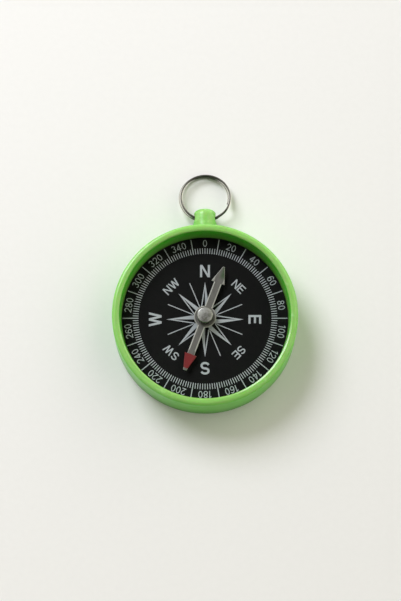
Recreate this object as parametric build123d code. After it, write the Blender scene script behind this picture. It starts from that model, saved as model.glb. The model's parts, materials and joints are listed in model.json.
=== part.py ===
from build123d import *

import os
from math import asin, atan2, cos, degrees, dist, hypot, radians, sin, sqrt

# Pocket compass: a moulded case with a lug, a printed dial under a clear crystal, a magnetised
# needle on a steel point, and a split ring through the lug.
# Millimetres. +Z up, the underside at z = 0, the needle's pivot on the Z axis, the lug and the
# dial's N towards +Y.

# Case
case_diameter = 45.0
case_height = 11.6
wall = 1.75
rim_outer_round = 0.9
lip_thickness = 0.3
lip_bevel_width = 0.4
lip_bevel_drop = 0.15
crystal_hold = 0.4
wall_lean = 0.45
web_thickness = 1.4
foot_round = 0.3
boss_wall = 1.6

# Lug, a slightly tapered peg on the case with a cross hole for the ring
lug_root_diameter = 5.9
lug_tip_diameter = 5.6
lug_tip_round = 1.5
lug_ground_clearance = 0.1
lug_standoff = 2.05
lug_tip_wall = 0.8

# Back cover
cover_thickness = 1.2
cover_ledge = 0.5
cover_edge_round = 0.2

# Crystal
crystal_thickness = 0.65
crystal_chamfer = 0.12

# Dial
dial_thickness = 0.4

# Pivot
bush_wall = 0.67
bush_flange_width = 0.7
bush_flange_thickness = 0.5
pin_diameter = 0.8
pin_root_depth = 3.4
pin_point_length = 1.0
pin_point_diameter = 0.08

# Needle, with the north arm towards +Y before it turns to its bearing
needle_bearing = 20.4
needle_headroom = 0.3
needle_lift = 1.2
blade_thickness = 0.3
blade_disc_diameter = 5.4
north_arm_width = 1.95
north_length = 13.3
north_head_length = 4.25
north_head_width = 3.4
north_tip_width = 0.45
south_arm_width = 1.8
south_length = 14.05
south_head_length = 4.15
south_head_width = 3.05
south_tip_width = 0.8

# Cap on the needle and the jewel in it
cap_diameter = 3.9
cap_crown_diameter = 1.0
cap_height = 2.2
cap_dome = 0.12
cap_shoulder_round = 0.3
cap_wall = 0.4
shank_wall = 0.37
rivet_spread = 0.3
rivet_thickness = 0.25
jewel_diameter = 1.6
jewel_height = 0.8
jewel_cup_depth = 0.51
jewel_cup_diameter = 1.1

# Split ring
ring_outer_diameter = 12.9
wire_diameter = 0.7
turn_gap = 0.43
turn_shift = 0.3
turn_lag = 0.4
crossing_angle = 322.0
crossing_half_span = 18.0
end_gap_angle = 5.0

# Clearances
fit_clearance = 0.03
dial_clearance = 0.1
cover_clearance = 0.05
point_clearance = 0.04
ring_clearance = 0.25
table_clearance = 0.02

# Radii and heights that follow from the sizes above
case_radius = case_diameter / 2
bore_radius = case_radius - wall
groove_radius = bore_radius + crystal_hold
dial_wall_radius = bore_radius - wall_lean
cover_seat_radius = bore_radius + cover_ledge
bush_bore = pin_diameter / 2 + fit_clearance
bush_radius = bush_bore + bush_wall
cap_bore = jewel_diameter / 2 + fit_clearance
shank_radius = cap_bore + shank_wall
rivet_radius = shank_radius + rivet_spread
boss_radius = bush_radius + boss_wall

groove_top = case_height - lip_thickness
crystal_seat = groove_top - crystal_thickness - fit_clearance
cap_top = crystal_seat - needle_headroom
blade_top = cap_top - cap_height
blade_bottom = blade_top - blade_thickness
dial_face = blade_bottom - needle_lift
web_top = dial_face - dial_thickness
web_bottom = web_top - web_thickness
boss_bottom = cover_thickness + cover_clearance
rivet_bottom = blade_bottom - rivet_thickness
jewel_top = cap_top - cap_wall
jewel_bottom = jewel_top - jewel_height
cup_floor = jewel_bottom + jewel_cup_depth
pin_tip = cup_floor - point_clearance
pin_bottom = dial_face - pin_root_depth

# The ring's wire bows by this much inside the lug, and the hole's axis runs through the middle of the bow
ring_radius = (ring_outer_diameter - wire_diameter) / 2
turn_pitch = wire_diameter + turn_gap
wire_bow = ring_radius - sqrt(ring_radius**2 - (lug_root_diameter / 2) ** 2)
hole_radius = hypot(turn_pitch / 2, (wire_bow + turn_lag) / 2) + wire_diameter / 2 + ring_clearance
lug_axis = lug_ground_clearance + lug_root_diameter / 2
hole_reach = case_radius + lug_standoff + hole_radius
lug_tip = hole_reach + hole_radius + lug_tip_wall
ring_offset = ring_radius - wire_bow / 2
ring_thickness = turn_pitch + wire_diameter

# The ring's outer end droops until it lies on the table
ring_far = ring_offset + ring_radius + turn_lag / 2
ring_slant = atan2(ring_thickness / 2, ring_far)
ring_drop = lug_axis - table_clearance
ring_droop = degrees(asin(ring_drop / hypot(ring_far, ring_thickness / 2)) - ring_slant)


def turned(points, rounds=()):
    """A solid turned about Z from (radius, height) corners; rounds pairs a corner with its radius."""
    face = make_face(Polyline([(r, 0, z) for r, z in points], close=True))
    for (r, z), radius in rounds:
        face = fillet(face.vertices().sort_by_distance((r, 0, z))[0], radius)
    return revolve(face, Axis.Z)


def case_body():
    bevel_width = min(lip_bevel_width, (wall - rim_outer_round) / 2)
    shell = turned(
        [
            (cover_seat_radius, 0),
            (case_radius, 0),
            (case_radius, case_height),
            (bore_radius + bevel_width, case_height),
            (bore_radius, case_height - lip_bevel_drop),
            (bore_radius, groove_top),
            (groove_radius, groove_top),
            (groove_radius, crystal_seat),
            (bore_radius, crystal_seat),
            (dial_wall_radius, web_top),
            (bush_radius + fit_clearance, web_top),
            (bush_radius + fit_clearance, boss_bottom),
            (boss_radius, boss_bottom),
            (boss_radius, web_bottom),
            (bore_radius, web_bottom),
            (bore_radius, cover_thickness),
            (cover_seat_radius, cover_thickness),
        ],
        [
            ((case_radius, 0), foot_round),
            ((case_radius, case_height), rim_outer_round),
        ],
    )
    return shell + lug() - ring_hole()


def lug():
    """The peg starts inside the wall, so that it joins the shell all round."""
    root = case_radius - wall / 2
    peg = Cone(
        lug_root_diameter / 2,
        lug_tip_diameter / 2,
        lug_tip - root,
        align=(Align.CENTER, Align.CENTER, Align.MIN),
    )
    peg = fillet(peg.edges().sort_by(Axis.Z)[-1], lug_tip_round)
    return Pos(0, root, lug_axis) * Rot(X=-90) * peg


def ring_hole():
    return Pos(0, hole_reach, lug_axis) * Rot(Y=90) * Cylinder(hole_radius, 2 * lug_root_diameter)


def back_cover():
    radius = cover_seat_radius - fit_clearance
    corners = [(0, 0), (radius, 0), (radius, cover_thickness), (0, cover_thickness)]
    return turned(corners, [((radius, 0), cover_edge_round)])


def crystal():
    radius = groove_radius - fit_clearance
    disc = Cylinder(radius, crystal_thickness, align=(Align.CENTER, Align.CENTER, Align.MIN))
    disc = chamfer(disc.edges().filter_by(GeomType.CIRCLE), crystal_chamfer)
    return Pos(0, 0, crystal_seat) * disc


def dial_card():
    inner = bush_radius + dial_clearance
    outer = dial_wall_radius - dial_clearance
    return turned([(inner, web_top), (outer, web_top), (outer, dial_face), (inner, dial_face)])


def pivot_bush():
    """A flanged bush through the web; the flange holds the dial down at its middle."""
    flange = bush_radius + bush_flange_width
    flange_top = dial_face + bush_flange_thickness
    return turned(
        [
            (0, boss_bottom),
            (bush_radius, boss_bottom),
            (bush_radius, dial_face),
            (flange, dial_face),
            (flange, flange_top),
            (bush_bore, flange_top),
            (bush_bore, pin_bottom),
            (0, pin_bottom),
        ],
        [((flange, flange_top), bush_flange_thickness / 3)],
    )


def pivot_pin():
    shoulder = pin_tip - pin_point_length
    return turned(
        [
            (0, pin_bottom),
            (pin_diameter / 2, pin_bottom),
            (pin_diameter / 2, shoulder),
            (pin_point_diameter / 2, pin_tip),
            (0, pin_tip),
        ]
    )


def needle_blade():
    """A stamped strip with an arrowhead at each end and a round middle for the cap."""
    north_neck = north_length - north_head_length
    south_neck = south_head_length - south_length
    right_side = [
        (north_tip_width / 2, north_length),
        (north_head_width / 2, north_neck),
        (north_arm_width / 2, north_neck),
        (south_arm_width / 2, south_neck),
        (south_head_width / 2, south_neck),
        (south_tip_width / 2, -south_length),
    ]
    left_side = [(-x, y) for x, y in reversed(right_side)]
    arrow = make_face(Polyline([*right_side, *left_side], close=True))
    outline = arrow + Circle(blade_disc_diameter / 2) - Circle(shank_radius + fit_clearance)
    blade = extrude(outline, blade_thickness)
    upper_edge = blade.faces().sort_by(Axis.Z)[-1].outer_wire().edges()
    blade = fillet(upper_edge, blade_thickness / 2)
    return Pos(0, 0, blade_bottom) * Rot(Z=-needle_bearing) * blade


def needle_cap():
    """A flat-crowned cap. Its shank goes through the blade and is spread into a rivet head below it."""
    radius = cap_diameter / 2
    edge = cap_top - cap_dome
    crown = cap_crown_diameter / 2
    corners = [
        (crown, cap_top),
        (0, cap_top),
        (0, jewel_top),
        (cap_bore, jewel_top),
        (cap_bore, rivet_bottom),
        (rivet_radius, rivet_bottom),
        (rivet_radius, blade_bottom),
        (shank_radius, blade_bottom),
        (shank_radius, blade_top),
        (radius, blade_top),
        (radius, edge),
    ]
    sides = Polyline([(r, 0, z) for r, z in corners])
    dome = TangentArc((crown, 0, cap_top), (radius, 0, edge), tangent=(1, 0, 0))
    section = make_face([*sides.edges(), dome])
    shoulder = section.vertices().sort_by_distance((radius, 0, edge))[0]
    return revolve(fillet(shoulder, cap_shoulder_round), Axis.Z)


def bearing_jewel():
    radius = jewel_diameter / 2
    return turned(
        [
            (0, jewel_top),
            (radius, jewel_top),
            (radius, jewel_bottom),
            (jewel_cup_diameter / 2, jewel_bottom),
            (pin_point_diameter / 2, cup_floor),
            (0, cup_floor),
        ]
    )


def turn_point(side, angle):
    """A point on the lower (side -1) or upper (side 1) turn, and the wire's direction there."""
    point = Vector(
        ring_radius * cos(radians(angle)) + side * turn_shift / 2,
        ring_radius * sin(radians(angle)) - side * turn_lag / 2,
        side * turn_pitch / 2,
    )
    return point, Vector(-sin(radians(angle)), cos(radians(angle)), 0)


def turn_arcs(side, start, end):
    """One turn as two arcs that meet half way."""
    middle = (start + end) / 2
    return [
        ThreePointArc(*(turn_point(side, a)[0] for a in (first, (first + last) / 2, last)))
        for first, last in ((start, middle), (middle, end))
    ]


def crossing_arcs():
    """Two tangent arcs that take the wire from the lower turn up to the upper one."""
    start, start_way = turn_point(-1, crossing_angle - crossing_half_span)
    end, end_way = turn_point(1, crossing_angle + crossing_half_span)
    span = end - start
    both = span.dot(start_way + end_way)
    spread = 2 * (1 - start_way.dot(end_way))
    reach = (sqrt(both**2 + spread * span.dot(span)) - both) / spread
    first_knee = start + start_way * reach
    second_knee = end - end_way * reach
    middle = (first_knee + second_knee) * 0.5
    return [
        TangentArc(start, middle, tangent=start_way),
        TangentArc(middle, end, tangent=second_knee - first_knee),
    ]


def ring_path():
    """Two turns of wire. Each cut end stops short of the crossing, where the wire changes level."""
    first = crossing_angle + crossing_half_span
    last = crossing_angle + 360 - crossing_half_span
    lower = turn_arcs(-1, first + end_gap_angle - 360, last - 360)
    upper = turn_arcs(1, first, last - end_gap_angle)
    return Wire([*lower, *crossing_arcs(), *upper])


def least_gap(path, steps=720):
    """The least clear gap between two stretches of the wire that lie over half a turn apart along it."""
    points = [tuple(path.position_at(i / steps)) for i in range(steps + 1)]
    apart = steps // 4
    pairs = ((a, b) for i, a in enumerate(points) for b in points[i + apart :])
    return min(dist(a, b) for a, b in pairs) - wire_diameter


def split_ring():
    path = ring_path()
    section = Plane(origin=path @ 0, z_dir=path % 0) * Circle(wire_diameter / 2)
    ring = sweep(section, path=path)
    print(f"split ring: wire {path.length:.2f} mm long, least gap to itself {least_gap(path):.3f} mm")
    swept_volume = Circle(wire_diameter / 2).area * path.length
    print(f"split ring: volume {ring.volume:.3f} mm3, section times length {swept_volume:.3f} mm3")
    return Pos(0, hole_reach, lug_axis) * Rot(X=-ring_droop) * Pos(0, ring_offset, 0) * ring


nodes = {
    "case_body": case_body,
    "back_cover": back_cover,
    "crystal": crystal,
    "dial_card": dial_card,
    "pivot_bush": pivot_bush,
    "pivot_pin": pivot_pin,
    "needle_blade": needle_blade,
    "needle_cap": needle_cap,
    "bearing_jewel": bearing_jewel,
    "split_ring": split_ring,
}

os.makedirs("parts", exist_ok=True)
for name, make in nodes.items():
    export_step(make(), f"parts/{name}.step")

ring_middle_y = hole_reach + ring_offset * cos(radians(ring_droop))
ring_middle_z = lug_axis - ring_offset * sin(radians(ring_droop))
print(f"ring hinge: y {hole_reach:.3f}, z {lug_axis:.3f}, droop {ring_droop:.2f} degrees")
print(f"ring middle: y {ring_middle_y:.3f}, z {ring_middle_z:.3f}, thickness {ring_thickness:.2f}")
print(f"lug: hole radius {hole_radius:.3f}, tip at {lug_tip:.3f}")
print(f"heights: dial face {dial_face:.3f}, cap top {cap_top:.3f}, crystal {crystal_seat:.3f}")
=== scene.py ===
"""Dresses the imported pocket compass: a finish for every node, the dial's print, light and view."""

from contextlib import contextmanager
import json
from math import atan2, cos, hypot, pi, radians, sin, sqrt

import bpy
from mathutils import Matrix, Vector


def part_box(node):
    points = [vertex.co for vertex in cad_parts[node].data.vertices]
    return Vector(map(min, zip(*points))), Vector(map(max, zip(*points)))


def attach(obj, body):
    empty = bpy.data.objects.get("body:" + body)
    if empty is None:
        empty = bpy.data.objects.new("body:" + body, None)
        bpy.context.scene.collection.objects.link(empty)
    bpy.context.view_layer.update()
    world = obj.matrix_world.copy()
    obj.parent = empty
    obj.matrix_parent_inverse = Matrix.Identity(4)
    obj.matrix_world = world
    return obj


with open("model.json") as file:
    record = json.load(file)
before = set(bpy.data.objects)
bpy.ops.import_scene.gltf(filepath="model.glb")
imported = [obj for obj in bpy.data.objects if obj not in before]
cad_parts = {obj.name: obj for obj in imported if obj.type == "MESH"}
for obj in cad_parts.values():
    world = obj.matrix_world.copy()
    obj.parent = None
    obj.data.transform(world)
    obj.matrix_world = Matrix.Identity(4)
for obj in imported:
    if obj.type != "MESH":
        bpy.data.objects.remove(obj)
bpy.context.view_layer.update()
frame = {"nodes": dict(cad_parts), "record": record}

MM = 0.001

# View
ELEVATION = radians(76.86)
AIM = Vector((-1.10, 3.20, 11.6)) * MM
DISTANCE = 482.8 * MM
LENS = 119.8
SENSOR = 36.0
CLIP_START = 0.01

# Light: one soft lamp, and a room that is brighter to the right and at the back
KEY_BEARING = radians(-38)
KEY_ELEVATION = radians(43)
KEY_DISTANCE = 0.9
KEY_SIZE = 0.50
KEY_POWER = 5.9
KEY_COLOUR = (0.96, 0.975, 1.07)
ROOM_LIGHT = 0.90
ROOM_TO_RIGHT = 0.40
ROOM_TO_BACK = 0.80
ROOM_COLOUR = (1.0, 0.98, 0.83)
STRIP_COLOUR = (0.02, 0.021, 0.022)
STRIP_INNER = radians(9)
STRIP_OUTER = radians(24)
STRIP_FOOT = 0.1
STRIP_FULL = 0.4
FLOOR_SIZE = 3.0
FLOOR_CELLS = 8

# Needle: its bearing in the part, and places along and across it, with north positive
NEEDLE_BEARING = radians(20.4)
RED_FROM = -9.9 * MM
RED_TO = -13.5 * MM
GREEN_PATCH_FROM = 9.6 * MM
GREEN_PATCH_TO = 11.2 * MM
NORTH_ARM_HALF = 0.975 * MM
SOUTH_ARM_HALF = 0.9 * MM
ARM_END = 9.0 * MM
BLADE_DISC_RADIUS = 2.7 * MM
# Widths of the painted highlight along the needle's edges
EDGE_HIGHLIGHT_INNER = 0.32 * MM
EDGE_HIGHLIGHT_OUTER = 0.20 * MM

# Print on the dial; pens and gaps are parts of the height of a figure or letter
INK_SUNK = 0.01 * MM
INK_PROUD = 0.02 * MM
INK_THICKNESS = INK_SUNK + INK_PROUD
SCALE_DROP = 0.08 * MM
ROSE_DROP = 0.36 * MM
SCALE_INNER = 16.2 * MM
SCALE_OUTER = 17.6 * MM
TICK_STEP = 2
TICK_WIDTH = 0.18 * MM
LINE_STEP = 20
LINE_FIRST = 10
LINE_WIDTH = 0.22 * MM
LINE_EDGE_GAP = 0.12 * MM
NUMBER_RADIUS = 18.85 * MM
NUMBER_HEIGHT = 1.72 * MM
NUMBER_PEN = 0.105
NUMBER_GAP = 0.16
POINTS = ("N", "E", "S", "W")
POINT_RADIUS = 12.12 * MM
POINT_HEIGHT = 3.1 * MM
POINT_PEN = 0.165
MIDPOINTS = ("NE", "SE", "SW", "NW")
MIDPOINT_RADIUS = 11.6 * MM
MIDPOINT_HEIGHT = 2.05 * MM
MIDPOINT_PEN = 0.145
LETTER_GAP = 0.13
CURVE_STEPS = 18
LOOP_POINTS = 36

# Compass rose
SPIKE_STEP = 45
ROSE_TIP = 9.38 * MM
ROSE_MIDTIP = 9.15 * MM
ROSE_VALLEY = 2.8 * MM
ROSE_EDGE = 0.26 * MM
ROSE_BUSH_GAP = 0.05 * MM
RAY_ROOT = 3.1 * MM
RAY_TIP = 9.8 * MM
RAY_WIDTH = 0.20 * MM

# Places taken from the imported nodes; the painted glow of the inner wall starts under the crystal's
# edge
CASE_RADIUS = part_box("case_body")[1].x
CRYSTAL_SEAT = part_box("crystal")[0].z
GLOW_INSET = 0.3 * MM
GLOW_FADE = 0.1 * MM
GLOW_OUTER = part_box("crystal")[1].x - GLOW_INSET
GLOW_INNER = GLOW_OUTER - GLOW_FADE
DIAL_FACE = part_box("dial_card")[1].z
DIAL_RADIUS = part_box("dial_card")[1].x
ROSE_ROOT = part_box("pivot_bush")[1].x + ROSE_BUSH_GAP

# Refraction
ACRYLIC_IOR = 1.49
RUBY_IOR = 1.77

# Sockets of a Mix node that mixes colours
MIX_FIRST = 6
MIX_SECOND = 7
MIX_RESULT = 2


# Finishes


class Value:
    """A socket of a finish, which takes part in Python sums."""

    def __init__(self, finish, socket):
        self.finish = finish
        self.socket = socket

    def maths(self, operation, first, second):
        return self.finish.node("ShaderNodeMath", {0: first, 1: second}, {"operation": operation})

    def __add__(self, other):
        return self.maths("ADD", self, other)

    def __radd__(self, other):
        return self.maths("ADD", other, self)

    def __sub__(self, other):
        return self.maths("SUBTRACT", self, other)

    def __rsub__(self, other):
        return self.maths("SUBTRACT", other, self)

    def __mul__(self, other):
        return self.maths("MULTIPLY", self, other)

    def __rmul__(self, other):
        return self.maths("MULTIPLY", other, self)


class Finish:
    """A node tree of a material or of the world, built through node()."""

    def __init__(self, owner):
        owner.use_nodes = True
        self.owner = owner
        self.tree = owner.node_tree
        self.tree.nodes.clear()

    def node(self, kind, sockets=None, settings=None, output=0):
        """Adds a node, gives it its settings, fills its sockets and returns one of its outputs."""
        node = self.tree.nodes.new(kind)
        for name, setting in (settings or {}).items():
            setattr(node, name, setting)
        for name, value in (sockets or {}).items():
            if isinstance(value, Value):
                self.tree.links.new(value.socket, node.inputs[name])
            else:
                node.inputs[name].default_value = value
        return Value(self, node.outputs[output]) if node.outputs else None

    def place(self):
        """Where a point is on the part, in metres."""
        return self.node("ShaderNodeTexCoord", output="Object")

    def facing(self):
        """The x, y and z of the way a face looks: z is 1 on top, 0 on a wall and -1 underneath."""
        return self.parts(self.node("ShaderNodeTexCoord", output="Normal"))

    def parts(self, vector):
        """The x, y and z of a vector."""
        split = self.node("ShaderNodeSeparateXYZ", {0: vector}).socket.node
        return [Value(self, socket) for socket in split.outputs]

    def magnitude(self, value):
        """A number without its sign."""
        return self.node("ShaderNodeMath", {0: value}, {"operation": "ABSOLUTE"})

    def noise(self, place, size, detail, stretch=(1, 1, 1), turn=0.0):
        """Noise from 0 to 1, in lumps of about that size in metres.

        The lumps are drawn out along an axis by stretch, and turn turns that axis about Z.
        """
        mapped = self.node(
            "ShaderNodeMapping",
            {"Vector": place, "Rotation": (0, 0, turn), "Scale": stretch},
            {"vector_type": "TEXTURE"},
        )
        sockets = {"Vector": mapped, "Scale": 1 / size, "Detail": detail}
        return self.node("ShaderNodeTexNoise", sockets)

    def fade(self, value, start, end):
        """0 before start, 1 after end, smooth between them."""
        return self.node(
            "ShaderNodeMapRange",
            {"Value": value, "From Min": start, "From Max": end},
            {"interpolation_type": "SMOOTHSTEP"},
        )

    def blend(self, mask, first, second):
        """The first colour where the mask is 0 and the second where it is 1."""
        first, second = (c if isinstance(c, Value) else (*c, 1) for c in (first, second))
        sockets = {0: mask, MIX_FIRST: first, MIX_SECOND: second}
        return self.node("ShaderNodeMix", sockets, {"data_type": "RGBA"}, MIX_RESULT)

    def bump(self, height, depth, strength):
        sockets = {"Height": height, "Distance": depth, "Strength": strength}
        return self.node("ShaderNodeBump", sockets)

    def surface(self, sockets):
        """Closes the tree with a plain shader."""
        self.output(self.node("ShaderNodeBsdfPrincipled", sockets))

    def output(self, shader):
        kind = "World" if isinstance(self.owner, bpy.types.World) else "Material"
        self.node(f"ShaderNodeOutput{kind}", {"Surface": shader})


def new_finish(name):
    return Finish(bpy.data.materials.new(name))


def green_plastic():
    """Moulded lime-green plastic, glossy.

    It has faint flow clouds, and worn pale patches on top that are also a painted sheen, more of
    them on the lug. Its walls are painted a deeper green than its top as painted shade, darker still
    towards the foot. The inner wall is painted a purer green, most near the crystal, a painted glow
    that stands in for light soaking through the rim.
    """
    deep_top, pale_top, wear_and_sheen_top = (0.25, 0.53, 0.112), (0.31, 0.60, 0.165), (0.42, 0.70, 0.28)
    upper_wall_painted_shade, foot_painted_shade = (0.13, 0.57, 0.03), (0.07, 0.40, 0.015)
    faint_glow, full_glow = (0.18, 0.48, 0.075), (0.10, 0.66, 0.035)

    f = new_finish("lime_green_plastic")
    place = f.place()
    x, y, z = f.parts(place)
    _, _, upward = f.facing()
    clouds = f.noise(place, 9 * MM, 3)
    skin = f.noise(place, 0.35 * MM, 2)
    # Worn pale patches on top, which are also a painted sheen, with more of them on the lug.
    on_lug = f.fade(y, CASE_RADIUS, CASE_RADIUS + 1.5 * MM)
    wear_and_sheen = f.fade(f.noise(place, 2.2 * MM, 4) + on_lug * 0.12, 0.56, 0.75)
    # wall is 1 on the walls, which are painted a deeper green than the top: painted shade.
    wall = f.fade(upward, 0.9, 0.2)
    # The inner wall is painted a purer green, strongest near the crystal's seat: a painted glow.
    inside = f.fade(x * x + y * y, GLOW_OUTER**2, GLOW_INNER**2)
    top = f.blend(wear_and_sheen * 0.35, f.blend(clouds, deep_top, pale_top), wear_and_sheen_top)
    # The walls' painted shade deepens from the dial's height down to the foot.
    side = f.blend(f.fade(z, DIAL_FACE, 0), upper_wall_painted_shade, foot_painted_shade)
    glow = f.blend(f.fade(z, DIAL_FACE, CRYSTAL_SEAT), faint_glow, full_glow)
    f.surface({
        "Base Color": f.blend(inside, f.blend(wall, top, side), glow),
        "Roughness": 0.17 + clouds * 0.06 + wear_and_sheen * 0.10 + wall * 0.12,
        "Normal": f.bump(skin, 0.004 * MM, 0.4),
        "Subsurface Weight": 0.5,
        "Subsurface Radius": (0.25, 1.0, 0.12),
        "Subsurface Scale": 2 * MM,
    })
    return f.owner


def clear_plastic():
    """A polished crystal with a weak mirror on its outer faces.

    It doesn't bend light, so the dial keeps its place.
    """
    f = new_finish("clear_crystal")
    haze = f.noise(f.place(), 6 * MM, 3)
    outer_face = 1 - f.node("ShaderNodeNewGeometry", output="Backfacing")
    mirror = f.node("ShaderNodeFresnel", {"IOR": ACRYLIC_IOR}) * outer_face
    through = f.node("ShaderNodeBsdfTransparent", {"Color": (0.985, 0.99, 0.985, 1)})
    gloss = f.node("ShaderNodeBsdfGlossy", {"Color": (1, 1, 1, 1), "Roughness": 0.03})
    weak_mirror = mirror * (0.16 + haze * 0.04)
    f.output(f.node("ShaderNodeMixShader", {0: weak_mirror, 1: through, 2: gloss}))
    return f.owner


def dial_black():
    """Matt black card with a fine paper grain."""
    deep, pale = (0.0028, 0.0029, 0.0030), (0.0044, 0.0044, 0.0046)

    f = new_finish("dial_black_card")
    place = f.place()
    grain = f.noise(place, 0.25 * MM, 3)
    f.surface({
        "Base Color": f.blend(f.noise(place, 5 * MM, 2), deep, pale),
        "Roughness": 0.55 + grain * 0.2,
        "Normal": f.bump(grain, 0.01 * MM, 0.4),
        "Specular IOR Level": 0.1,
    })
    return f.owner


def dial_ink():
    """Pale grey screen print, a little thin in places."""
    full, worn = (0.405, 0.43, 0.463), (0.257, 0.274, 0.296)

    f = new_finish("dial_print_ink")
    thin = f.fade(f.noise(f.place(), 0.4 * MM, 3), 0.45, 0.75)
    f.surface({
        "Base Color": f.blend(thin * 0.25, full, worn),
        "Roughness": 0.5 + thin * 0.2,
    })
    return f.owner


def needle_steel():
    """Dull rolled steel, painted pale along its edges as a painted highlight, with a green patch on
    the north head.

    The south head is painted red, but for its very tip.
    """
    dark_steel, pale_steel = (0.090, 0.086, 0.079), (0.152, 0.145, 0.133)
    streak, green_patch_colour, painted_edge_highlight = (0.21, 0.203, 0.188), (0.03, 0.085, 0.022), (0.46, 0.45, 0.42)
    dark_red, pale_red = (0.15, 0.002, 0.003), (0.20, 0.005, 0.007)

    f = new_finish("needle_steel_and_red")
    place = f.place()
    x, y, _ = f.parts(place)
    _, _, upward = f.facing()
    along = x * sin(NEEDLE_BEARING) + y * cos(NEEDLE_BEARING)
    across = x * cos(NEEDLE_BEARING) - y * sin(NEEDLE_BEARING)
    from_axis = f.magnitude(across)
    from_pivot = x * x + y * y
    streaks = f.noise(place, 0.16 * MM, 3, (1, 9, 1), -NEEDLE_BEARING)
    patches = f.noise(place, 1.6 * MM, 3)

    ragged = along + (f.noise(place, 0.5 * MM, 2) - 0.5) * (0.35 * MM)
    red = f.fade(ragged, RED_FROM + 0.05 * MM, RED_FROM - 0.05 * MM)
    red = red * f.fade(ragged, RED_TO - 0.12 * MM, RED_TO + 0.12 * MM)
    # A green patch on the north head.
    green = f.fade(ragged, GREEN_PATCH_FROM, GREEN_PATCH_TO) * f.fade(across, -0.5 * MM, 0.5 * MM)

    half = SOUTH_ARM_HALF + f.fade(along, -MM, MM) * (NORTH_ARM_HALF - SOUTH_ARM_HALF)
    on_arm = f.fade(f.magnitude(along), ARM_END, ARM_END - 0.1 * MM)
    on_arm = on_arm * f.fade(from_pivot, (BLADE_DISC_RADIUS - 0.2 * MM) ** 2, BLADE_DISC_RADIUS**2)
    # The painted highlight: a pale, less metallic line along the arms' edges and round the blade
    # disc, and pale bevelled faces.
    arm_highlight = on_arm * f.fade(from_axis, half - EDGE_HIGHLIGHT_INNER, half - EDGE_HIGHLIGHT_OUTER)
    line_start = (BLADE_DISC_RADIUS - EDGE_HIGHLIGHT_INNER) ** 2
    line_end = (BLADE_DISC_RADIUS - EDGE_HIGHLIGHT_OUTER) ** 2
    disc_highlight = f.fade(from_pivot, line_start, line_end) * f.fade(from_axis, half, half + 0.2 * MM)
    bevel_highlight = f.fade(upward, 0.97, 0.8)
    edge = 1 - (1 - arm_highlight) * (1 - disc_highlight * 0.6) * (1 - bevel_highlight)

    steel = f.blend(patches, dark_steel, pale_steel)
    steel = f.blend(streaks * 0.5, steel, streak)
    steel = f.blend(green * 0.75, steel, green_patch_colour)
    steel = f.blend(edge * 0.9, steel, painted_edge_highlight)
    paint = f.blend(patches, dark_red, pale_red)
    f.surface({
        "Base Color": f.blend(red, steel, paint),
        "Metallic": 0.55 * (1 - red) * (1 - edge),
        "Roughness": 0.42 + streaks * 0.15 - red * 0.05,
        "Normal": f.bump(streaks, 0.006 * MM, 0.5),
    })
    return f.owner


def ring_wire():
    """Spring wire, painted dark on faces that look up, down, forwards and back and pale on faces that
    look to the left and right: a painted reflection.
    """
    painted_dark_reflection, dull_painted_reflection, bright_painted_reflection = (0.075, 0.072, 0.062), (0.78, 0.765, 0.725), (0.94, 0.925, 0.88)

    f = new_finish("plated_ring_wire")
    sideways, _, _ = f.facing()
    tarnish = f.noise(f.place(), 2.0 * MM, 3)
    # Painted reflection: pale where the faces look to the left and right, dark elsewhere.
    painted_reflection_mask = f.fade(sideways * sideways, 0.12, 0.45)
    f.surface({
        "Base Color": f.blend(painted_reflection_mask, painted_dark_reflection, f.blend(tarnish, dull_painted_reflection, bright_painted_reflection)),
        "Metallic": 1.0,
        "Roughness": 0.34 + tarnish * 0.06 - painted_reflection_mask * 0.20,
    })
    return f.owner


def nickel_plate():
    """The needle's cap: blotched plating with patches of old grease, polished on the shoulder, its
    skirt painted dark olive as painted shade.
    """
    dark_plate, pale_plate = (0.20, 0.195, 0.18), (0.48, 0.47, 0.45)
    greasy, polished, skirt_painted_shade = (0.19, 0.195, 0.12), (0.36, 0.355, 0.34), (0.065, 0.065, 0.038)

    f = new_finish("nickel_plate")
    place = f.place()
    _, _, upward = f.facing()
    blotches = f.noise(place, 0.9 * MM, 4)
    grease = f.fade(f.noise(place, 0.8 * MM, 2), 0.5, 0.7)
    shoulder = f.fade(upward, 0.985, 0.85)
    # The skirt is painted dark olive: painted shade.
    skirt = f.fade(upward, 0.5, 0.15)
    plate = f.blend(f.fade(blotches, 0.32, 0.68), dark_plate, pale_plate)
    plate = f.blend(grease * 0.35, plate, greasy)
    plate = f.blend(shoulder * 0.8, plate, polished)
    f.surface({
        "Base Color": f.blend(skirt, plate, skirt_painted_shade),
        "Metallic": 0.8,
        "Roughness": 0.36 + grease * 0.10 - shoulder * 0.11,
        "Normal": f.bump(blotches, 0.03 * MM, 0.6),
    })
    return f.owner


def worn_metal(name, dark, pale, roughness, lump):
    """Bare metal with faint tarnish in lumps of that size, and fine scratches."""
    f = new_finish(name)
    place = f.place()
    tarnish = f.noise(place, lump, 3)
    scratches = f.noise(place, lump / 6, 2, (1, 5, 1))
    f.surface({
        "Base Color": f.blend(tarnish, dark, pale),
        "Metallic": 1.0,
        "Roughness": roughness + tarnish * 0.12,
        "Normal": f.bump(scratches, lump / 300, 0.4),
    })
    return f.owner


def pin_steel():
    return worn_metal("ground_pin_steel", (0.38, 0.38, 0.39), (0.52, 0.52, 0.53), 0.2, 0.8 * MM)


def brass():
    return worn_metal("turned_brass", (0.46, 0.30, 0.10), (0.64, 0.44, 0.17), 0.24, 1.0 * MM)


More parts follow.
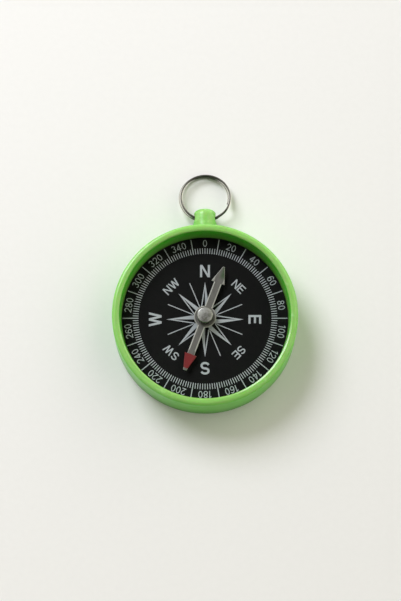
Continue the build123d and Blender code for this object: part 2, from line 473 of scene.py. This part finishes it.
def jewel():
    """A polished red cup."""
    dark_red, pale_red = (0.35, 0.02, 0.03), (0.55, 0.05, 0.06)

    f = new_finish("red_jewel")
    cloud = f.noise(f.place(), 0.5 * MM, 2)
    f.surface({
        "Base Color": f.blend(cloud, dark_red, pale_red),
        "Roughness": 0.08 + cloud * 0.05,
        "IOR": RUBY_IOR,
    })
    return f.owner


def floor_paper():
    """Plain off-white paper with a faint tooth."""
    shade, light = (0.848, 0.838, 0.826), (0.878, 0.868, 0.856)

    f = new_finish("pale_floor")
    tooth = f.noise(f.place(), 1.4 * MM, 3)
    f.surface({
        "Base Color": f.blend(tooth, shade, light),
        "Roughness": 0.75 + tooth * 0.1,
        "Normal": f.bump(tooth, 0.05 * MM, 0.5),
        "Specular IOR Level": 0.25,
    })
    return f.owner


def dress_nodes():
    """Gives each node the finish of its material slot."""
    finishes = {
        "green_plastic": green_plastic(),
        "clear_plastic": clear_plastic(),
        "dial_black": dial_black(),
        "needle_steel": needle_steel(),
        "nickel_cap": nickel_plate(),
        "ring_steel": ring_wire(),
        "pin_steel": pin_steel(),
        "brass": brass(),
        "jewel": jewel(),
    }
    for subpart in frame["record"]["subparts"]:
        node = frame["nodes"][subpart["node"]]
        node.material_slots[0].material = finishes[subpart["material_slot"]]


# Outlines of the print, and glyphs one unit tall


def arc(x, y, across, up, start, end, steps=CURVE_STEPS):
    """Points on an oval with these half widths, from one angle to another in degrees."""
    turns = [radians(start + (end - start) * i / steps) for i in range(steps + 1)]
    return [(x + across * cos(t), y + up * sin(t)) for t in turns]


def stroke(line, pen):
    """The outline of a pen that follows a line."""
    left, right = [], []
    for i, (x, y) in enumerate(line):
        (x0, y0), (x1, y1) = line[max(i - 1, 0)], line[min(i + 1, len(line) - 1)]
        turn = atan2(y1 - y0, x1 - x0)
        left.append((x - sin(turn) * pen / 2, y + cos(turn) * pen / 2))
        right.append((x + sin(turn) * pen / 2, y - cos(turn) * pen / 2))
    return [left + right[::-1]]


def loop(x, y, across, up, pen):
    """A closed round stroke: an outer and an inner outline."""
    last = 360 - 360 / LOOP_POINTS
    halves = ((across, up), (across - pen, up - pen))
    return [arc(x, y, a, b, 0, last, LOOP_POINTS - 1) for a, b in halves]


def bar(x0, y0, x1, y1):
    return [[(x0, y0), (x1, y0), (x1, y1), (x0, y1)]]


def spoke(bearing, inner, outer, width):
    """A bar that points outwards along a bearing."""
    turn = radians(bearing)
    corners = bar(-width / 2, inner, width / 2, outer)[0]
    return [[(x * cos(turn) + y * sin(turn), y * cos(turn) - x * sin(turn)) for x, y in corners]]


def letter_n(pen):
    """Two stems, and a diagonal that is lean wide at its ends and leaves the stems at drop."""
    w, lean = 0.78, 1.15 * pen
    drop = 1 - 1.55 * pen
    return w, [[[
        (0, 0), (pen, 0), (pen, drop), (w - lean, 0), (w, 0),
        (w, 1), (w - pen, 1), (w - pen, 1 - drop), (lean, 1), (0, 1),
    ]]]


def letter_e(pen):
    w, arm, waist = 0.70, 0.65, 0.51
    low, high = waist - pen / 2, waist + pen / 2
    return w, [[[
        (0, 0), (w, 0), (w, pen), (pen, pen), (pen, low), (arm, low),
        (arm, high), (pen, high), (pen, 1 - pen), (w, 1 - pen), (w, 1), (0, 1),
    ]]]


def letter_w(pen):
    """Four slanted strokes, each as wide across as their slant needs."""
    w = 1.14
    across = pen * sqrt(1 + (w / 4) ** 2)
    foot = w / 4 + across / 4
    notch = across / (2 * foot - across)
    return w, [[[
        (0, 1), (foot - across / 2, 0), (foot + across / 2, 0), (w / 2, 1 - notch),
        (w - foot - across / 2, 0), (w - foot + across / 2, 0), (w, 1), (w - across, 1),
        (w - foot, notch), (w / 2 + across / 2, 1), (w / 2 - across / 2, 1), (foot, notch),
        (across, 1),
    ]]]


def letter_s(pen):
    """An upper and a lower bowl that meet in the waist."""
    w, waist = 0.72, 0.51
    across = (w - pen) / 2
    upper, lower = (1 - pen / 2 - waist) / 2, (waist - pen / 2) / 2
    line = arc(w / 2, waist + upper, across, upper, 15, 270)
    line += arc(w / 2, waist - lower, across, lower, 90, -165)[1:]
    return w, [stroke(line, pen)]


def figure_0(pen):
    w = 0.58
    return w, [loop(w / 2, 0.5, w / 2, 0.5, pen)]


def figure_1(pen):
    """A stem with a flag to its left."""
    w, stem, flag, flag_top = 0.40, 0.24, 0.05, 0.84
    return w, [[[
        (stem, 0), (stem + pen, 0), (stem + pen, 1), (stem + pen * 0.2, 1),
        (flag, flag_top), (flag, flag_top - pen), (stem, 0.87 - pen * 0.5),
    ]]]


def figure_2(pen):
    w, bowl = 0.58, 0.27
    hook = arc(w / 2, 1 - pen / 2 - bowl, (w - pen) / 2, bowl, 170, -35)
    return w, [stroke([*hook, (pen * 0.7, pen / 2)], pen), bar(0, 0, w, pen)]


def figure_3(pen):
    """Two bowls that meet in the waist, the upper one a little narrower."""
    w, waist, narrower = 0.58, 0.53, 0.02
    upper, lower = (1 - pen / 2 - waist) / 2, (waist - pen / 2) / 2
    across = (w - pen) / 2
    over = arc(w / 2, waist + upper, across - narrower, upper, 160, -90)
    under = arc(w / 2, waist - lower, across, lower, 90, -160)
    return w, [stroke(over, pen), stroke(under, pen)]


def figure_4(pen):
    """A stem and a crossbar with a slanted stroke, which close round a hole."""
    w, stem, low = 0.62, 0.37, 0.22
    peak, hole_top, hole_left = stem - 0.02, 0.80, 0.14
    outer = [
        (stem, 0), (stem + pen, 0), (stem + pen, low), (w, low), (w, low + pen),
        (stem + pen, low + pen), (stem + pen, 1), (peak, 1), (0, low + pen), (0, low), (stem, low),
    ]
    hole = [(stem, low + pen), (stem, hole_top), (hole_left, low + pen)]
    return w, [[outer, hole]]


def figure_6(pen):
    """A bowl with a curved back that rises from its left."""
    w, bowl, middle = 0.58, 0.31, 0.36
    spring = bowl + 0.02
    back = arc(middle, spring, middle - pen / 2, 1 - pen / 2 - spring, 180, 48)
    return w, [loop(w / 2, bowl, w / 2, bowl, pen), stroke(back, pen)]


def figure_8(pen):
    """Two loops, the upper one a little smaller."""
    w, lower, upper = 0.58, 0.28, 0.25
    lower_loop = loop(w / 2, lower, w / 2, lower, pen)
    upper_loop = loop(w / 2, 1 - upper, w * 0.45, upper, pen)
    return w, [lower_loop, upper_loop]


GLYPHS = {
    "N": letter_n, "E": letter_e, "S": letter_s, "W": letter_w,
    "0": figure_0, "1": figure_1, "2": figure_2, "3": figure_3,
    "4": figure_4, "6": figure_6, "8": figure_8,
}


# Print on the dial


def added(name, data):
    """A new object in the scene."""
    thing = bpy.data.objects.new(name, data)
    bpy.context.scene.collection.objects.link(thing)
    return thing


@contextmanager
def editing(shape):
    """Edit mode on one mesh, with all of it selected."""
    shape.select_set(True)
    bpy.context.view_layer.objects.active = shape
    bpy.ops.object.mode_set(mode="EDIT")
    bpy.ops.mesh.select_all(action="SELECT")
    yield
    bpy.ops.object.mode_set(mode="OBJECT")
    shape.select_set(False)


def joined(name, objects):
    """One mesh object from several, with its place in its mesh."""
    bpy.ops.object.select_all(action="DESELECT")
    for o in objects:
        o.select_set(True)
    bpy.context.view_layer.objects.active = objects[0]
    bpy.ops.object.convert(target="MESH")
    if len(objects) > 1:
        bpy.ops.object.join()
    bpy.ops.object.transform_apply(location=True, rotation=True, scale=True)
    whole = bpy.context.object
    whole.name = whole.data.name = name
    bpy.ops.object.select_all(action="DESELECT")
    return whole


def ink(name, shapes, thickness=INK_THICKNESS):
    """One mesh of printed shapes, each a list of closed outlines. Shapes that overlap become one."""
    made = []
    for outlines in shapes:
        curve = bpy.data.curves.new(name, "CURVE")
        curve.dimensions = "2D"
        curve.fill_mode = "BOTH"
        curve.extrude = thickness / 2
        for outline in outlines:
            spline = curve.splines.new("POLY")
            spline.points.add(len(outline) - 1)
            for point, (x, y) in zip(spline.points, outline):
                point.co = (x, y, 0, 1)
            spline.use_cyclic_u = True
        made.append(added(name, curve))
    whole = joined(name, made)
    with editing(whole):
        bpy.ops.mesh.remove_doubles(threshold=thickness / 100)
        bpy.ops.mesh.select_all(action="SELECT")
        bpy.ops.mesh.intersect_boolean(operation="UNION", use_self=True, solver="EXACT")
    return whole


def round_the_dial(shape, copies):
    """Repeats a shape evenly round the pivot axis."""
    steps = copies - 1
    swept = 2 * pi * steps / copies
    with editing(shape):
        bpy.ops.mesh.spin(steps=steps, dupli=True, angle=swept, center=(0, 0, 0), axis=(0, 0, 1))
    return shape


def turned_to(shape, bearing):
    """Turns a shape clockwise from north."""
    shape.rotation_euler.z = -radians(bearing)
    return joined(shape.name, [shape])


def printed(piece, finish, drop):
    """Lays a finished shape on the dial, a little low as it was printed. It moves with the case."""
    piece.location = (0, -drop, DIAL_FACE + (INK_PROUD - INK_SUNK) / 2)
    joined(piece.name, [piece])
    piece.data.materials.clear()
    piece.data.materials.append(finish)
    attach(piece, "case")


def stamps(glyphs, word, height, gap, radius, bearing):
    """Copies of a word's glyphs, tops outwards, the word's middle at that radius and bearing."""
    width = sum(glyphs[c][0] for c in word) + gap * (len(word) - 1)
    x = -width / 2
    copies = []
    for c in word:
        advance, shape = glyphs[c]
        copy = added(shape.name, shape.data.copy())
        place = Matrix.Translation((x * height, radius - height / 2, 0))
        size = Matrix.Diagonal((height, height, INK_THICKNESS, 1))
        copy.matrix_world = Matrix.Rotation(-radians(bearing), 4, "Z") @ place @ size
        copies.append(copy)
        x += advance + gap
    return copies


def words_round(words, first, pen, height, gap, radius):
    """Words spaced evenly round the dial from a first bearing, each stamped with its glyphs."""
    glyphs = {}
    for c in sorted(set("".join(words))):
        width, shapes = GLYPHS[c](pen)
        glyphs[c] = (width, ink(f"glyph_{c}", shapes, 1))
    copies = []
    for i, word in enumerate(words):
        copies += stamps(glyphs, word, height, gap, radius, first + 360 * i / len(words))
    for _, shape in glyphs.values():
        bpy.data.objects.remove(shape)
    return copies


def print_scale(finish):
    """A long line to the dial's edge on each side of a number, and short ticks between the lines."""
    copies = 360 // LINE_STEP
    edge = DIAL_RADIUS - LINE_EDGE_GAP
    lines = ink("dial_lines", [spoke(LINE_FIRST, SCALE_INNER, edge, LINE_WIDTH)])
    printed(round_the_dial(lines, copies), finish, SCALE_DROP)
    bearings = range(LINE_FIRST + TICK_STEP, LINE_FIRST + LINE_STEP, TICK_STEP)
    ticks = ink("dial_ticks", [spoke(b, SCALE_INNER, SCALE_OUTER, TICK_WIDTH) for b in bearings])
    printed(round_the_dial(ticks, copies), finish, SCALE_DROP)


def print_numbers(finish):
    words = [str(bearing) for bearing in range(0, 360, LINE_STEP)]
    numbers = words_round(words, 0, NUMBER_PEN, NUMBER_HEIGHT, NUMBER_GAP, NUMBER_RADIUS)
    printed(joined("dial_numbers", numbers), finish, SCALE_DROP)


def print_letters(finish):
    letters = words_round(POINTS, 0, POINT_PEN, POINT_HEIGHT, LETTER_GAP, POINT_RADIUS)
    letters += words_round(
        MIDPOINTS, SPIKE_STEP, MIDPOINT_PEN, MIDPOINT_HEIGHT, LETTER_GAP, MIDPOINT_RADIUS
    )
    printed(joined("dial_letters", letters), finish, ROSE_DROP)


def spike(name, tip):
    """A spike of the rose: its clockwise half is filled, and its other half has only an edge."""
    half_step = radians(SPIKE_STEP / 2)
    side = ROSE_VALLEY * sin(half_step)
    base = ROSE_VALLEY * cos(half_step)
    length = hypot(side, tip - base)
    inward = (ROSE_EDGE * (tip - base) / length, -ROSE_EDGE * side / length)
    outline = [
        (0, ROSE_ROOT),
        (ROSE_ROOT * sin(half_step), ROSE_ROOT * cos(half_step)),
        (side, base),
        (0, tip),
        (-side, base),
        (-side + inward[0], base + inward[1]),
        (0, tip - ROSE_EDGE * length / side),
    ]
    return ink(name, [[outline]])


def print_rose(finish):
    """Spikes to the points and, a little shorter, to the midpoints, with a ray between each two."""
    points = spike("rose_points", ROSE_TIP)
    printed(round_the_dial(points, len(POINTS)), finish, ROSE_DROP)
    midpoints = turned_to(spike("rose_midpoints", ROSE_MIDTIP), SPIKE_STEP)
    printed(round_the_dial(midpoints, len(MIDPOINTS)), finish, ROSE_DROP)
    rays = ink("rose_rays", [spoke(SPIKE_STEP / 2, RAY_ROOT, RAY_TIP, RAY_WIDTH)])
    printed(round_the_dial(rays, 360 // SPIKE_STEP), finish, ROSE_DROP)


# Light, floor and view


def lay_floor():
    bpy.ops.mesh.primitive_grid_add(
        x_subdivisions=FLOOR_CELLS, y_subdivisions=FLOOR_CELLS, size=FLOOR_SIZE
    )
    floor = bpy.context.object
    floor.name = "pale_floor"
    floor.data.materials.append(floor_paper())


def light_room():
    """A pale room with a dark strip overhead, from the camera's side to the far side."""
    world = bpy.data.worlds.new("soft_room")
    bpy.context.scene.world = world
    f = Finish(world)
    x, y, z = f.parts(f.node("ShaderNodeTexCoord", output="Generated"))
    across = f.fade(x * x, sin(STRIP_OUTER) ** 2, sin(STRIP_INNER) ** 2)
    overhead = across * f.fade(z, STRIP_FOOT, STRIP_FULL)
    colour = f.blend(overhead, ROOM_COLOUR, STRIP_COLOUR)
    strength = ROOM_LIGHT * (1 + x * ROOM_TO_RIGHT + y * ROOM_TO_BACK)
    f.output(f.node("ShaderNodeBackground", {"Color": colour, "Strength": strength}))


def hang_lamp():
    lamp = bpy.data.lights.new("window_light", "AREA")
    lamp.shape = "DISK"
    lamp.size = KEY_SIZE
    lamp.energy = KEY_POWER
    lamp.color = KEY_COLOUR
    away = Vector((
        sin(KEY_BEARING) * cos(KEY_ELEVATION),
        cos(KEY_BEARING) * cos(KEY_ELEVATION),
        sin(KEY_ELEVATION),
    ))
    holder = added("window_light", lamp)
    holder.location = away * KEY_DISTANCE
    holder.rotation_euler = away.to_track_quat("Z", "Y").to_euler()


def aim_camera():
    camera = bpy.data.cameras.new("view")
    camera.lens = LENS
    camera.sensor_width = SENSOR
    camera.clip_start = CLIP_START
    back = Vector((0, -cos(ELEVATION), sin(ELEVATION)))
    holder = added("view", camera)
    holder.location = AIM + back * DISTANCE
    holder.rotation_euler = back.to_track_quat("Z", "Y").to_euler()
    bpy.context.scene.camera = holder


dress_nodes()
ink_finish = dial_ink()
print_scale(ink_finish)
print_numbers(ink_finish)
print_letters(ink_finish)
print_rose(ink_finish)
lay_floor()
light_room()
hang_lamp()
aim_camera()
bpy.context.scene.view_settings.view_transform = "Standard"
